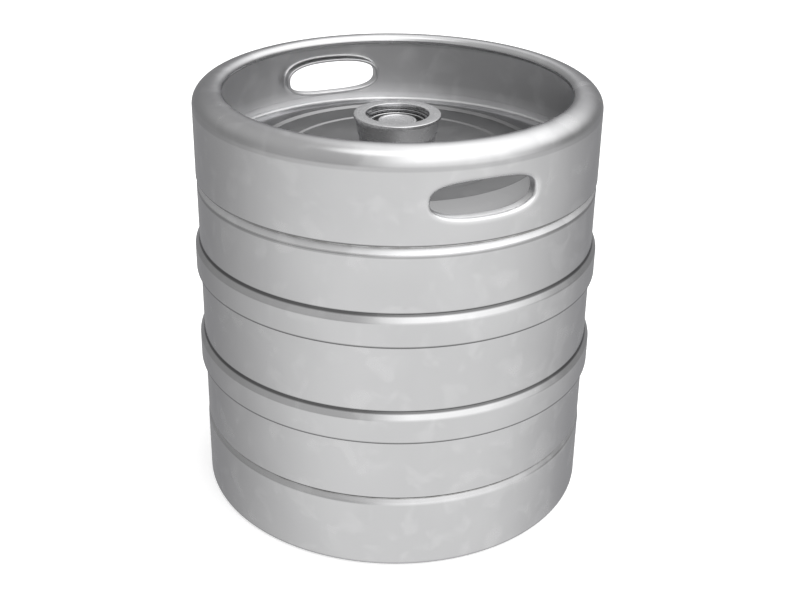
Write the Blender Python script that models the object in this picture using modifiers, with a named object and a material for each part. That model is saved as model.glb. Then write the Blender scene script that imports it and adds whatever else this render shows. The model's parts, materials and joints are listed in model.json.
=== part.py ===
"""A 30 litre stainless steel beer keg with its well-type neck and spring-loaded extractor valve.

Standalone Blender 4.5 script. Metres, +Z up. The keg stands on the plane z = 0 with its axis on Z;
the two hand slots of the top chime face -Y and +Y.
"""
from math import cos, pi, radians, sin

import bmesh
import bpy
from mathutils import Matrix, Vector

MM = 0.001

# ---- driving dimensions, in millimetres -------------------------------------------------------
KEG_HEIGHT = 400.0
RING_RADIUS = 190.5          # rolling rings, the widest part
BODY_RADIUS = 186.4
CHIME_RADIUS = 187.0
SHELL_WALL = 1.5
CHIME_WALL = 1.8
SEAM_HEIGHT = 195.0          # girth seam between the two drawn shells
RING_OFFSET = 47.0           # rolling ring's centre above or below the seam
RING_HALF_HEIGHT = 15.0
RING_SHOULDER = 7.6          # height of a rolling ring's sloping upper shoulder
GAP = 0.3                    # clearance kept between touching pieces

RIM_ROLL_RADIUS = 14.5       # outside curve of the top rim
RIM_FLAT = 8.5               # width of the flat crown of the top rim
RIM_BEAD_RADIUS = 4.5        # the rim's edge, curled back down on the inside
TOP_CHIME_FOOT = 318.2       # lower edge of the top chime
BOTTOM_CHIME_HEAD = 72.5     # upper edge of the bottom chime
FOOT_ROLL_RADIUS = 5.0
FOOT_FLAT = 7.0
FOOT_BEAD_RADIUS = 5.5

SLOT_HEIGHT = 31.0
SLOT_WIDTH = 94.0
SLOT_POWER = 2.7             # roundness of the slot's outline: 2 is an ellipse, more is squarer
SLOT_CENTRE_Z = 355.5
SLOT_HEM_DEPTH = 10.0        # how far the slot's turned edge stands in from the wall

NECK_TOP = 370.0
NECK_FLANGE_RADIUS = 40.5
NECK_BORE = 29.4
NECK_SPIGOT_RADIUS = 35.6
NECK_BOTTOM = 326.0
HEAD_FLOOR = TOP_CHIME_FOOT + 14.4    # recessed floor of the head around the neck
HEAD_STEP_RADIUS = 134.0     # where the head steps up to its dished outer band
HEAD_BEAD_RADIUS = 105.0     # shallow pressed step inside the recess

CLIP_GROOVE_LOW = NECK_TOP - 7.4
CLIP_GROOVE_HIGH = NECK_TOP - 4.8
CLIP_GROOVE_RADIUS = 31.3
NECK_SHOULDER = NECK_TOP - 33.5       # ledge inside the neck that carries the valve body
HOUSING_RADIUS = NECK_BORE - GAP
HOUSING_BORE = 27.9
HOUSING_LIP = 24.6           # opening of the lip that the gas seal shuts against
HOUSING_BOTTOM = NECK_BOTTOM + 1.0
HOUSING_WAIST = 27.7
HOUSING_WAIST_BORE = 26.4

BEER_TRAVEL = 5.0            # beer valve stroke inside the spear
VALVE_TOP = NECK_TOP - 6.5   # top of the beer valve's disc
SEAL_TOP = NECK_TOP - 10.7
SEAL_THICKNESS = 5.0
CUP_TOP = SEAL_TOP - SEAL_THICKNESS - GAP
CUP_FLOOR = 334.0
TUBE_RADIUS = 11.0
TUBE_BORE = 9.2
TUBE_END = 45.0
BASKET_FLOOR = 290.0

GAS_COIL_RADIUS = 24.2
GAS_WIRE = 2.2
GAS_TURNS = 7
BEER_COIL_RADIUS = 14.0
BEER_WIRE = 1.6
BEER_TURNS = 4

SHELL_SIDES = 40             # sides round the keg's shells
VALVE_SIDES = 24             # sides round the neck and valve pieces
COIL_POINTS = 12             # points in one turn of a spring


# ---- helpers ----------------------------------------------------------------------------------
def clear_scene():
    for obj in list(bpy.data.objects):
        bpy.data.objects.remove(obj, do_unlink=True)


def new_collection(name):
    collection = bpy.data.collections.new(name)
    bpy.context.scene.collection.children.link(collection)
    return collection


def steel(name, colour, roughness, metallic=1.0):
    material = bpy.data.materials.new(name)
    material.use_nodes = True
    shader = material.node_tree.nodes["Principled BSDF"]
    shader.inputs["Base Color"].default_value = (*colour, 1.0)
    shader.inputs["Roughness"].default_value = roughness
    shader.inputs["Metallic"].default_value = metallic
    return material


def arc(centre_r, centre_z, radius, start, end, steps):
    """Points of a circular arc in the profile plane, from start to end degrees."""
    points = []
    for i in range(steps + 1):
        angle = radians(start + (end - start) * i / steps)
        points.append((centre_r + radius * cos(angle), centre_z + radius * sin(angle)))
    return points


def finish_shading(obj, angle=28.0):
    obj.data.shade_smooth()
    obj.data.set_sharp_from_angle(angle=radians(angle))


def turned(name, profile, material, collection, sides, closed=True):
    """A turned piece: the profile of (radius, height) points in mm, spun round Z by a Screw modifier.

    The profile runs down its outer side. A closed profile joins its last point to its first; an open
    one starts and ends on the axis. The object's origin is on the axis, level with its lowest point.
    """
    base = min(z for _, z in profile)
    mesh = bpy.data.meshes.new(name)
    vertices = [(r * MM, 0.0, (z - base) * MM) for r, z in profile]
    edges = [(i, i + 1) for i in range(len(vertices) - 1)]
    if closed:
        edges.append((len(vertices) - 1, 0))
    mesh.from_pydata(vertices, edges, [])
    obj = bpy.data.objects.new(name, mesh)
    obj.location = (0.0, 0.0, base * MM)
    collection.objects.link(obj)
    screw = obj.modifiers.new("turn", "SCREW")
    screw.axis = "Z"
    screw.angle = 2 * pi
    screw.steps = sides
    screw.render_steps = sides
    screw.use_smooth_shade = True
    screw.use_merge_vertices = True
    screw.merge_threshold = 0.00005
    obj.data.materials.append(material)
    return obj


def coil(name, radius, wire, bottom, top, turns, material, collection):
    """An open helical spring standing between two heights, in mm; its ends are filled."""
    curve = bpy.data.curves.new(name, "CURVE")
    curve.dimensions = "3D"
    curve.bevel_depth = wire / 2 * MM
    curve.bevel_resolution = 2
    curve.use_fill_caps = True
    spline = curve.splines.new("POLY")
    count = turns * COIL_POINTS + 1
    spline.points.add(count - 1)
    low = bottom + wire / 2
    rise = top - bottom - wire
    for i in range(count):
        along = i / (count - 1)
        angle = 2 * pi * turns * along
        point = (radius * cos(angle) * MM, radius * sin(angle) * MM, (low + rise * along - bottom) * MM)
        spline.points[i].co = (*point, 1.0)
    obj = bpy.data.objects.new(name, curve)
    obj.location = (0.0, 0.0, bottom * MM)
    curve.materials.append(material)
    collection.objects.link(obj)
    return obj


def block(name, size, centre, turn, collection):
    """A box of size (x, y, z) mm at centre, turned by an angle in degrees about Z through the axis."""
    mesh = bpy.data.meshes.new(name)
    bm = bmesh.new()
    bmesh.ops.create_cube(bm, size=1.0)
    bmesh.ops.scale(bm, vec=Vector(size) * MM, verts=bm.verts)
    bmesh.ops.translate(bm, vec=Vector(centre) * MM, verts=bm.verts)
    bmesh.ops.rotate(bm, cent=(0, 0, 0), matrix=Matrix.Rotation(radians(turn), 3, "Z"), verts=bm.verts)
    bm.to_mesh(mesh)
    bm.free()
    obj = bpy.data.objects.new(name, mesh)
    collection.objects.link(obj)
    return obj


def slot_bar(name, width, height, length, collection):
    """A bar with the slot's oval outline, width along X and height along Z, lying along Y."""
    outline = []
    for i in range(28):
        angle = 2 * pi * i / 28
        c, s = cos(angle), sin(angle)
        x = width / 2 * abs(c) ** (2 / SLOT_POWER) * (1 if c >= 0 else -1)
        z = height / 2 * abs(s) ** (2 / SLOT_POWER) * (1 if s >= 0 else -1)
        outline.append((x, z))
    mesh = bpy.data.meshes.new(name)
    bm = bmesh.new()
    ring = [bm.verts.new((x * MM, -length / 2 * MM, z * MM)) for x, z in outline]
    face = bm.faces.new(ring)
    extruded = bmesh.ops.extrude_face_region(bm, geom=[face])
    moved = [item for item in extruded["geom"] if isinstance(item, bmesh.types.BMVert)]
    bmesh.ops.translate(bm, vec=(0.0, length * MM, 0.0), verts=moved)
    bmesh.ops.recalc_face_normals(bm, faces=bm.faces)
    bm.to_mesh(mesh)
    bm.free()
    obj = bpy.data.objects.new(name, mesh)
    obj.location = (0.0, 0.0, SLOT_CENTRE_Z * MM)
    collection.objects.link(obj)
    return obj


def guide(obj):
    """Mark an object as a cutter or tool shape, not a piece of the keg."""
    obj.hide_render = True
    obj.display_type = "WIRE"
    return obj


def boolean(obj, other, operation):
    modifier = obj.modifiers.new(operation.lower(), "BOOLEAN")
    modifier.operation = operation
    modifier.solver = "EXACT"
    modifier.object = other
    return modifier


# ---- profiles shared by the two shells ----------------------------------------------------------
def ring_outside(centre):
    """Outer side of a rolling ring, from above it to below it: a sloping shoulder, a sharp lower edge."""
    top = centre + RING_HALF_HEIGHT
    bottom = centre - RING_HALF_HEIGHT
    return [
        (BODY_RADIUS, top),
        (RING_RADIUS - 0.6, top - 4.9),
        (RING_RADIUS, top - RING_SHOULDER),
        (RING_RADIUS, bottom + 1.6),
        (RING_RADIUS - 0.8, bottom + 0.2),
        (BODY_RADIUS, bottom - 0.4),
    ]


def ring_inside(centre):
    """Inner side of the same ring, from below it to above it."""
    top = centre + RING_HALF_HEIGHT
    bottom = centre - RING_HALF_HEIGHT
    inner = BODY_RADIUS - SHELL_WALL
    return [
        (inner, bottom + 1.0),
        (RING_RADIUS - SHELL_WALL, bottom + 2.6),
        (RING_RADIUS - SHELL_WALL, top - RING_SHOULDER),
        (inner, top - 1.2),
    ]


# ---- shells, chimes and seams -------------------------------------------------------------------
def make_upper_shell(material, collection):
    """Upper half of the body: side wall with its ring, and the head, dished up to the chime inside it."""
    hole = NECK_SPIGOT_RADIUS + 1.0
    seam = SEAM_HEIGHT + 1.8
    floor = HEAD_FLOOR
    foot = TOP_CHIME_FOOT
    inner = BODY_RADIUS - SHELL_WALL
    outside = [
        (hole, floor),
        (HEAD_BEAD_RADIUS - 1.0, floor),
        (HEAD_BEAD_RADIUS + 1.0, floor + 1.2),
        (HEAD_STEP_RADIUS - 3.0, floor + 1.2),
        (HEAD_STEP_RADIUS, floor + 3.8),
        (150.0, floor + 0.4),
        (164.0, floor - 4.2),
        (174.0, floor - 7.8),
        (179.0, floor - 7.6),
        (182.6, floor - 5.4),
        (184.3, floor - 2.4),
        (184.8, floor - 0.6),
        (184.8, foot + 6.6),
        (182.5, foot + 2.2),
        (182.3, foot - 0.6),
        (182.9, foot - 3.0),
        (185.9, foot - 7.0),
        (BODY_RADIUS, foot - 8.8),
    ]
    outside += ring_outside(SEAM_HEIGHT + RING_OFFSET)
    outside.append((BODY_RADIUS, seam))
    inside = [(inner, seam)]
    inside += ring_inside(SEAM_HEIGHT + RING_OFFSET)
    inside += [
        (inner, foot - 9.3),
        (181.5, foot - 3.6),
        (180.9, foot + 1.8),
        (179.2, foot + 4.6),
        (174.0, floor - 9.3),
        (163.6, floor - 5.8),
        (149.6, floor - 1.2),
        (HEAD_STEP_RADIUS + 0.6, floor + 2.2),
        (HEAD_STEP_RADIUS - 2.2, floor - 0.3),
        (HEAD_BEAD_RADIUS + 1.2, floor - 0.3),
        (HEAD_BEAD_RADIUS - 0.8, floor - SHELL_WALL),
        (hole, floor - SHELL_WALL),
    ]
    return turned("upper_shell", outside + inside, material, collection, SHELL_SIDES)


def make_lower_shell(material, collection):
    """Lower half of the body, with its rolling ring and a bottom that bulges down to a central sump."""
    seam = SEAM_HEIGHT - 1.8
    head = BOTTOM_CHIME_HEAD
    inner = BODY_RADIUS - SHELL_WALL
    outside = [(BODY_RADIUS, seam)]
    outside += ring_outside(SEAM_HEIGHT - RING_OFFSET)
    outside += [
        (BODY_RADIUS, head + 2.8),
        (185.6, head + 1.0),
        (182.6, head + 0.4),
        (181.2, head - 0.9),
        (180.2, head - 9.0),
        (172.0, 61.3),
        (150.0, 55.5),
        (110.0, 45.5),
        (60.0, 37.5),
        (0.0, 34.0),
    ]
    inside = [
        (0.0, 34.0 + SHELL_WALL),
        (60.0, 39.0),
        (110.0, 47.1),
        (150.0, 57.2),
        (171.2, 62.9),
        (178.7, head - 7.8),
        (179.8, head + 0.2),
        (182.0, head + 2.0),
        (inner, head + 4.0),
    ]
    inside += ring_inside(SEAM_HEIGHT - RING_OFFSET)
    inside.append((inner, seam))
    # the profile is one open run from the axis, up the inside, over the seam and down the outside
    profile = inside + outside
    return turned("lower_shell", profile, material, collection, SHELL_SIDES, closed=False)


def make_top_chime(material, collection, guides):
    """Top chime: a skirt with its rim rolled inward, and two hand slots whose edges are turned in."""
    inner = CHIME_RADIUS - CHIME_WALL
    roll_r = CHIME_RADIUS - RIM_ROLL_RADIUS
    roll_z = KEG_HEIGHT - RIM_ROLL_RADIUS
    bead_r = roll_r - RIM_FLAT
    bead_z = KEG_HEIGHT - RIM_BEAD_RADIUS
    foot = TOP_CHIME_FOOT
    outside = arc(roll_r, roll_z, RIM_ROLL_RADIUS, 90, 0, 4)
    outside += [(CHIME_RADIUS, foot + 3.9), (CHIME_RADIUS - 0.8, foot + 1.4), (184.4, foot)]
    inside = [(183.2, foot + 1.3), (inner - 0.6, foot + 2.8), (inner, foot + 5.0)]
    inside += arc(roll_r, roll_z, RIM_ROLL_RADIUS - CHIME_WALL, 0, 90, 4)
    inside += arc(bead_r, bead_z, RIM_BEAD_RADIUS - CHIME_WALL, 90, 240, 4)
    edge = arc(bead_r, bead_z, RIM_BEAD_RADIUS, 240, 90, 4)
    chime = turned("top_chime", outside + inside + edge, material, collection, SHELL_SIDES)

    hem_out = CHIME_RADIUS - CHIME_WALL / 2
    hem_in = inner - SLOT_HEM_DEPTH
    hem_half = SLOT_HEIGHT / 2 + CHIME_WALL + 2.0
    hem_top = SLOT_CENTRE_Z + hem_half
    hem_bottom = SLOT_CENTRE_Z - hem_half
    band = [(hem_out, hem_top), (hem_out, hem_bottom), (hem_in, hem_bottom), (hem_in, hem_top)]
    hem = guide(turned("slot_hem_band", band, material, guides, SHELL_SIDES))
    hem_width = SLOT_WIDTH + 2 * CHIME_WALL
    hem_bar = slot_bar("slot_hem_bar", hem_width, SLOT_HEIGHT + 2 * CHIME_WALL, 420.0, guides)
    opening = slot_bar("slot_opening", SLOT_WIDTH, SLOT_HEIGHT, 440.0, guides)
    boolean(hem, guide(hem_bar), "INTERSECT")
    boolean(chime, hem, "UNION")
    boolean(chime, guide(opening), "DIFFERENCE")
    return chime


def make_bottom_chime(material, collection):
    """Bottom chime: the foot ring, rolled inward to a flat ring that stands on the floor."""
    inner = CHIME_RADIUS - CHIME_WALL
    roll_r = CHIME_RADIUS - FOOT_ROLL_RADIUS
    bead_r = roll_r - FOOT_FLAT
    head = BOTTOM_CHIME_HEAD
    outside = [(183.4, head), (CHIME_RADIUS - 0.4, head - 5.2), (CHIME_RADIUS, head - 7.8)]
    outside += arc(roll_r, FOOT_ROLL_RADIUS, FOOT_ROLL_RADIUS, 0, -90, 3)
    outside += arc(bead_r, FOOT_BEAD_RADIUS, FOOT_BEAD_RADIUS, 270, 170, 3)
    inside = arc(bead_r, FOOT_BEAD_RADIUS, FOOT_BEAD_RADIUS - CHIME_WALL, 170, 270, 3)
    inside += arc(roll_r, FOOT_ROLL_RADIUS, FOOT_ROLL_RADIUS - CHIME_WALL, -90, 0, 3)
    inside += [(inner, head - 6.3), (181.9, head - 0.9)]
    return turned("bottom_chime", outside + inside, material, collection, SHELL_SIDES)


def make_seams(material, collection):
    """The weld beads: round the middle, under each chime and round the neck."""
    wall_in = BODY_RADIUS - SHELL_WALL
    foot = TOP_CHIME_FOOT
    head = BOTTOM_CHIME_HEAD
    beads = {
        "girth_weld": [
            (BODY_RADIUS, SEAM_HEIGHT + 1.4),
            (BODY_RADIUS, SEAM_HEIGHT - 1.4),
            (wall_in, SEAM_HEIGHT - 1.4),
            (wall_in, SEAM_HEIGHT + 1.4),
        ],
        "top_chime_weld": [
            (184.3, foot - 0.4),
            (184.7, foot - 1.4),
            (184.3, foot - 2.4),
            (183.6, foot - 2.7),
            (183.0, foot - 0.6),
        ],
        "bottom_chime_weld": [
            (185.0, head + 0.35),
            (185.2, head - 0.3),
            (184.6, head - 0.9),
            (184.1, head - 0.35),
            (183.9, head + 0.25),
        ],
    }
    for name, profile in beads.items():
        turned(name, profile, material, collection, SHELL_SIDES)
    neck_bead = [
        (NECK_SPIGOT_RADIUS + 0.4, HEAD_FLOOR + 6.0),
        (37.8, HEAD_FLOOR + 5.2),
        (41.8, HEAD_FLOOR + 2.2),
        (42.6, HEAD_FLOOR + GAP + 0.1),
        (NECK_SPIGOT_RADIUS + 0.4, HEAD_FLOOR + GAP + 0.1),
    ]
    turned("neck_weld", neck_bead, material, collection, VALVE_SIDES)


# ---- neck and fixed valve pieces ------------------------------------------------------------------
def make_neck(material, collection):
    """The thick neck welded into the head: coupler flange, tapered collar, spigot and stepped bore."""
    profile = [
        (NECK_FLANGE_RADIUS - 0.5, NECK_TOP),
        (NECK_FLANGE_RADIUS, NECK_TOP - 0.6),
        (NECK_FLANGE_RADIUS, NECK_TOP - 3.4),
        (39.0, NECK_TOP - 4.1),
        (36.9, NECK_TOP - 18.0),
        (NECK_SPIGOT_RADIUS, NECK_TOP - 18.6),
        (NECK_SPIGOT_RADIUS, NECK_BOTTOM),
        (HOUSING_WAIST + GAP, NECK_BOTTOM),
        (HOUSING_WAIST + GAP, NECK_SHOULDER),
        (NECK_BORE, NECK_SHOULDER),
        (NECK_BORE, CLIP_GROOVE_LOW),
        (CLIP_GROOVE_RADIUS, CLIP_GROOVE_LOW),
        (CLIP_GROOVE_RADIUS, CLIP_GROOVE_HIGH),
        (NECK_BORE, CLIP_GROOVE_HIGH),
        (NECK_BORE, NECK_TOP - 0.5),
        (NECK_BORE + 0.5, NECK_TOP),
    ]
    return turned("keg_neck", profile, material, collection, VALVE_SIDES)


def make_valve_body(material, collection):
    """The housing that sits in the neck; its lip at the top is the seat of the gas seal."""
    top = CLIP_GROOVE_LOW - 0.4
    profile = [
        (HOUSING_RADIUS, top),
        (HOUSING_RADIUS, NECK_SHOULDER + 2.4),
        (HOUSING_WAIST, NECK_SHOULDER + 2.4),
        (HOUSING_WAIST, HOUSING_BOTTOM),
        (HOUSING_WAIST_BORE, HOUSING_BOTTOM),
        (HOUSING_WAIST_BORE, NECK_TOP - 29.5),
        (HOUSING_BORE, NECK_TOP - 28.5),
        (HOUSING_BORE, SEAL_TOP + GAP),
        (HOUSING_LIP, SEAL_TOP + GAP),
        (HOUSING_LIP, top - 0.5),
        (HOUSING_LIP + 0.6, top),
    ]
    return turned("valve_body", profile, material, collection, VALVE_SIDES)


def make_retaining_circlip(material, collection, guides):
    """A split ring snapped into the neck's groove, which holds the valve body down."""
    low = CLIP_GROOVE_LOW + 0.4
    high = CLIP_GROOVE_HIGH - 0.4
    outer = CLIP_GROOVE_RADIUS - GAP
    inner = 27.2
    profile = [(outer, high), (outer, low), (inner, low), (inner, high)]
    circlip = turned("retaining_circlip", profile, material, collection, VALVE_SIDES)
    split = guide(block("circlip_split", (9.0, 12.0, 6.0), (0.0, 29.0, (low + high) / 2), 45.0, guides))
    boolean(circlip, split, "DIFFERENCE")
    return circlip


def make_neck_seal(material, collection):
    """Flat rubber ring between the neck's ledge and the valve body."""
    low = NECK_SHOULDER + GAP
    high = NECK_SHOULDER + 2.1
    outer = HOUSING_RADIUS
    inner = 28.3
    profile = [(outer, high), (outer, low), (inner, low), (inner, high)]
    return turned("neck_seal", profile, material, collection, VALVE_SIDES)


def make_spring_basket(material, collection, guides):
    """Cage under the valve body: three windows in its wall, and a floor that carries the gas spring."""
    top = HOUSING_BOTTOM - GAP
    floor_top = BASKET_FLOOR + 2.0
    profile = [
        (HOUSING_WAIST, top),
        (HOUSING_WAIST, BASKET_FLOOR),
        (16.4, BASKET_FLOOR),
        (16.4, floor_top),
        (HOUSING_WAIST_BORE, floor_top),
        (HOUSING_WAIST_BORE, top),
    ]
    basket = turned("spring_basket", profile, material, collection, VALVE_SIDES)
    for i in range(3):
        size = (32.0, 30.0, 22.0)
        window = block(f"basket_window_{i + 1}", size, (0.0, 32.0, BASKET_FLOOR + 20.0), 120.0 * i, guides)
        boolean(basket, guide(window), "DIFFERENCE")
    return basket


def make_tube_guide(material, collection):
    """Plastic bush in the basket's floor that keeps the down tube central."""
    shelf = BASKET_FLOOR + 2.0 + GAP
    profile = [
        (18.5, shelf + 2.0),
        (18.5, shelf),
        (16.0, shelf),
        (16.0, BASKET_FLOOR - 2.0),
        (TUBE_RADIUS + 0.5, BASKET_FLOOR - 2.0),
        (TUBE_RADIUS + 0.5, shelf + 2.0),
    ]
    return turned("tube_guide", profile, material, collection, VALVE_SIDES)


def make_spring_washer(material, collection):
    """Flat washer that the gas spring stands on."""
    low = BASKET_FLOOR + 2.0 + GAP
    profile = [(26.0, low + 1.0), (26.0, low), (22.2, low), (22.2, low + 1.0)]
    return turned("spring_seat_washer", profile, material, collection, VALVE_SIDES)


def make_gas_spring(material, collection):
    low = BASKET_FLOOR + 3.0 + 2 * GAP
    high = CUP_TOP - 3.7 - GAP
    return coil("gas_spring", GAS_COIL_RADIUS, GAS_WIRE, low, high, GAS_TURNS, material, collection)


# ---- the spear: everything that a coupler pushes down first --------------------------------------
def make_gas_seal(material, collection):
    """Thick rubber ring that shuts against the valve body's lip."""
    low = SEAL_TOP - SEAL_THICKNESS
    profile = [(27.2, SEAL_TOP), (27.2, low), (18.2, low), (18.2, SEAL_TOP)]
    return turned("gas_seal", profile, material, collection, VALVE_SIDES)


def make_spear_cup(material, collection):
    """Pressed cup under the gas seal, with a flange for the gas spring and a socket for the tube."""
    profile = [
        (27.2, CUP_TOP),
        (27.2, CUP_TOP - 3.7),
        (22.1, CUP_TOP - 3.7),
        (22.1, CUP_FLOOR - 1.0),
        (TUBE_RADIUS + 2.4, CUP_FLOOR - 7.0),
        (TUBE_RADIUS + 2.4, CUP_FLOOR - 15.0),
        (TUBE_RADIUS + 0.4, CUP_FLOOR - 15.0),
        (TUBE_RADIUS + 0.4, CUP_FLOOR - 3.0),
        (TUBE_BORE + 0.2, CUP_FLOOR - 3.0),
        (TUBE_BORE + 0.2, CUP_FLOOR),
        (20.6, CUP_FLOOR),
        (20.6, CUP_TOP),
    ]
    return turned("spear_cup", profile, material, collection, VALVE_SIDES)


def make_down_tube(material, collection):
    """The tube that reaches down to the sump."""
    top = CUP_FLOOR - 3.0 - 0.4
    profile = [(TUBE_RADIUS, top), (TUBE_RADIUS, TUBE_END), (TUBE_BORE, TUBE_END), (TUBE_BORE, top)]
    return turned("down_tube", profile, material, collection, VALVE_SIDES)


def make_beer_spring(material, collection):
    low = CUP_FLOOR + GAP
    high = CUP_TOP - 4.5 - GAP
    return coil("beer_spring", BEER_COIL_RADIUS, BEER_WIRE, low, high, BEER_TURNS, material, collection)


# ---- the beer valve in the middle of the spear -----------------------------------------------------
def make_beer_valve(material, collection):
    """Centre valve: the round disc seen in the neck, a flange under the gas seal and a short stem."""
    flange_top = CUP_TOP - 2.3
    profile = [
        (0.0, VALVE_TOP),
        (17.2, VALVE_TOP),
        (17.8, VALVE_TOP - 0.6),
        (17.8, CUP_TOP + 0.2),
        (16.5, CUP_TOP + 0.2),
        (16.5, flange_top),
        (19.6, flange_top),
        (19.6, CUP_TOP - 4.5),
        (6.0, CUP_TOP - 4.5),
        (6.0, CUP_FLOOR + BEER_TRAVEL),
        (0.0, CUP_FLOOR + BEER_TRAVEL),
    ]
    return turned("beer_valve", profile, material, collection, VALVE_SIDES, closed=False)


def make_poppet_seal(material, collection):
    """Rubber ring on the beer valve's flange, which shuts against the underside of the gas seal."""
    low = CUP_TOP - 2.0
    profile = [(19.6, CUP_TOP), (19.6, low), (16.9, low), (16.9, CUP_TOP)]
    return turned("poppet_seal", profile, material, collection, VALVE_SIDES)


def parent_to_slide(name, height, pieces, collection):
    """An empty on the keg's axis that carries the pieces of one sliding group."""
    slide = bpy.data.objects.new(name, None)
    slide.location = (0.0, 0.0, height * MM)
    slide.empty_display_size = 0.02
    collection.objects.link(slide)
    for piece in pieces:
        piece.parent = slide
        piece.matrix_parent_inverse = Matrix.Translation((0.0, 0.0, -height * MM))
    return slide


def main():
    clear_scene()
    keg = new_collection("beer_keg")
    guides = new_collection("cutters")

    satin = steel("satin_stainless", (0.62, 0.62, 0.62), 0.32)
    machined = steel("machined_stainless", (0.66, 0.66, 0.66), 0.24)
    weld = steel("weld_bead", (0.50, 0.50, 0.50), 0.45)
    spring = steel("spring_wire", (0.45, 0.45, 0.46), 0.30)
    rubber = steel("black_rubber", (0.03, 0.03, 0.03), 0.75, 0.0)
    plastic = steel("guide_plastic", (0.78, 0.78, 0.75), 0.50, 0.0)

    make_upper_shell(satin, keg)
    make_lower_shell(satin, keg)
    make_top_chime(satin, keg, guides)
    make_bottom_chime(satin, keg)
    make_seams(weld, keg)
    make_neck(machined, keg)
    make_valve_body(machined, keg)
    make_retaining_circlip(spring, keg, guides)
    make_neck_seal(rubber, keg)
    make_spring_basket(satin, keg, guides)
    make_tube_guide(plastic, keg)
    make_spring_washer(machined, keg)
    make_gas_spring(spring, keg)

    gas_seal = make_gas_seal(rubber, keg)
    cup = make_spear_cup(machined, keg)
    tube = make_down_tube(satin, keg)
    beer_spring = make_beer_spring(spring, keg)
    parent_to_slide("spear_slide", SEAL_TOP, [gas_seal, cup, tube, beer_spring], keg)

    valve = make_beer_valve(machined, keg)
    poppet_seal = make_poppet_seal(rubber, keg)
    parent_to_slide("beer_valve_slide", VALVE_TOP, [valve, poppet_seal], keg)

    for obj in keg.objects:
        if obj.type == "MESH":
            finish_shading(obj)


main()
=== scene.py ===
"""Looks of the stainless steel beer keg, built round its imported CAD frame.

Blender works in metres. Profiles are written in millimetres as (radius, height) round the keg's axis.
"""

import json
from math import atan2, ceil, cos, hypot, pi, radians, sin, sqrt, tan

import bmesh
import bpy
from mathutils import Matrix, Vector

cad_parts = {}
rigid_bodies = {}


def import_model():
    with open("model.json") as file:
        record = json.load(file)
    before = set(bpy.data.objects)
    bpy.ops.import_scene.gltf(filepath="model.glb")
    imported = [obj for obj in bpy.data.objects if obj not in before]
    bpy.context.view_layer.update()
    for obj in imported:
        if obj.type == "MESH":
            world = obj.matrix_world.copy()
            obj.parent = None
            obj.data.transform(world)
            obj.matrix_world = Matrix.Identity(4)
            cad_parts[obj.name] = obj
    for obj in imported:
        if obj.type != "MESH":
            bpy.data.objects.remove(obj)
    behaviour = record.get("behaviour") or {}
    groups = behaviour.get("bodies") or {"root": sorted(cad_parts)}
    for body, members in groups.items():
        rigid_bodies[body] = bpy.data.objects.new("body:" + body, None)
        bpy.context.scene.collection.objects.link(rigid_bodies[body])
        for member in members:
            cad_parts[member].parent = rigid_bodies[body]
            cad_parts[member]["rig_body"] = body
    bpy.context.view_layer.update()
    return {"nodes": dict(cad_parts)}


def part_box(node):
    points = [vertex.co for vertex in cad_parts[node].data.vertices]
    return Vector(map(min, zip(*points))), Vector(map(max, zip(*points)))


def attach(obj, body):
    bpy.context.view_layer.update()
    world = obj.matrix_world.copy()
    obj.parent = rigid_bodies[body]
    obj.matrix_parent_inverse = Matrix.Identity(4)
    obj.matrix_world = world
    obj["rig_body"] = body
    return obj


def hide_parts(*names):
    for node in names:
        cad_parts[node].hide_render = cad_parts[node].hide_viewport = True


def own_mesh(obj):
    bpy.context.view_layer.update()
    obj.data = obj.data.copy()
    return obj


MM = 0.001

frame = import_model()


# ---- sizes, in millimetres, from the frame and from the CAD source's driving dimensions ----------
def top_of(node):
    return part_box(node)[1].z / MM


def foot_of(node):
    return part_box(node)[0].z / MM


def radius_of(node):
    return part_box(node)[1].x / MM


KEG_HEIGHT = top_of("top_chime")
RING_RADIUS = radius_of("upper_shell")
BODY_RADIUS = radius_of("girth_weld")
CHIME_RADIUS = radius_of("top_chime")
CHIME_FOOT = foot_of("top_chime")
FOOT_HEAD = top_of("bottom_chime")
NECK_TOP = top_of("keg_neck")
NECK_BOTTOM = foot_of("keg_neck")
FLANGE_RADIUS = radius_of("keg_neck")
SHELL_WALL = 1.5
CHIME_WALL = 1.8
SEAM = (foot_of("girth_weld") + top_of("girth_weld")) / 2
RING_OFFSET = 47.0
RING_HALF = 15.0
RIM_ROLL = 14.5              # height of the top rim's rolled part
RIM_CREST = 168.0            # radius of the rim's highest line
RIM_INNER = 159.5            # radius of the rim's inner edge
RIM_CURL_DROP = 5.2          # from the rim's crown down to the widest point of its curled edge
RIM_CURL_RADIUS = 4.2
RIM_CURL_DEPTH = 3.7
FOOT_ROLL = 5.0
FOOT_FLAT = 7.0
FOOT_BEAD = 5.5
SLOT_HALF_HEIGHT = 15.5
SLOT_HALF_WIDTH = 47.0
SLOT_POWER = 2.7             # roundness of the slot's outline: 2 is an ellipse, more is squarer
SLOT_Z = 355.5
HEM_END_RADIUS = CHIME_RADIUS - CHIME_WALL - 10.0
SPIGOT_RADIUS = 35.6
HEAD_FLOOR = CHIME_FOOT + 14.4
HEAD_STEP = 134.0            # radius where the head steps up to its sloping outer band
HEAD_BEAD = 105.0            # radius of the shallow step inside the sunk floor
BOTTOM_MIDDLE = 34.0         # height of the keg's bottom at its middle
NECK_BORE = 29.4
NECK_SHOULDER = NECK_TOP - 33.5      # ledge inside the neck that carries the valve body
CLIP_LOW = NECK_TOP - 7.4
CLIP_HIGH = NECK_TOP - 4.8
CLIP_GROOVE = 31.3
CLIP_SPLIT = 18.0            # degrees left open in the split ring
HOUSING_RADIUS = 29.1
HOUSING_BORE = 27.9
HOUSING_LIP = 24.6
HOUSING_WAIST = 27.7
HOUSING_WAIST_BORE = 26.4
CUP_FLOOR = 334.0
TUBE_BORE = 9.2
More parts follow.
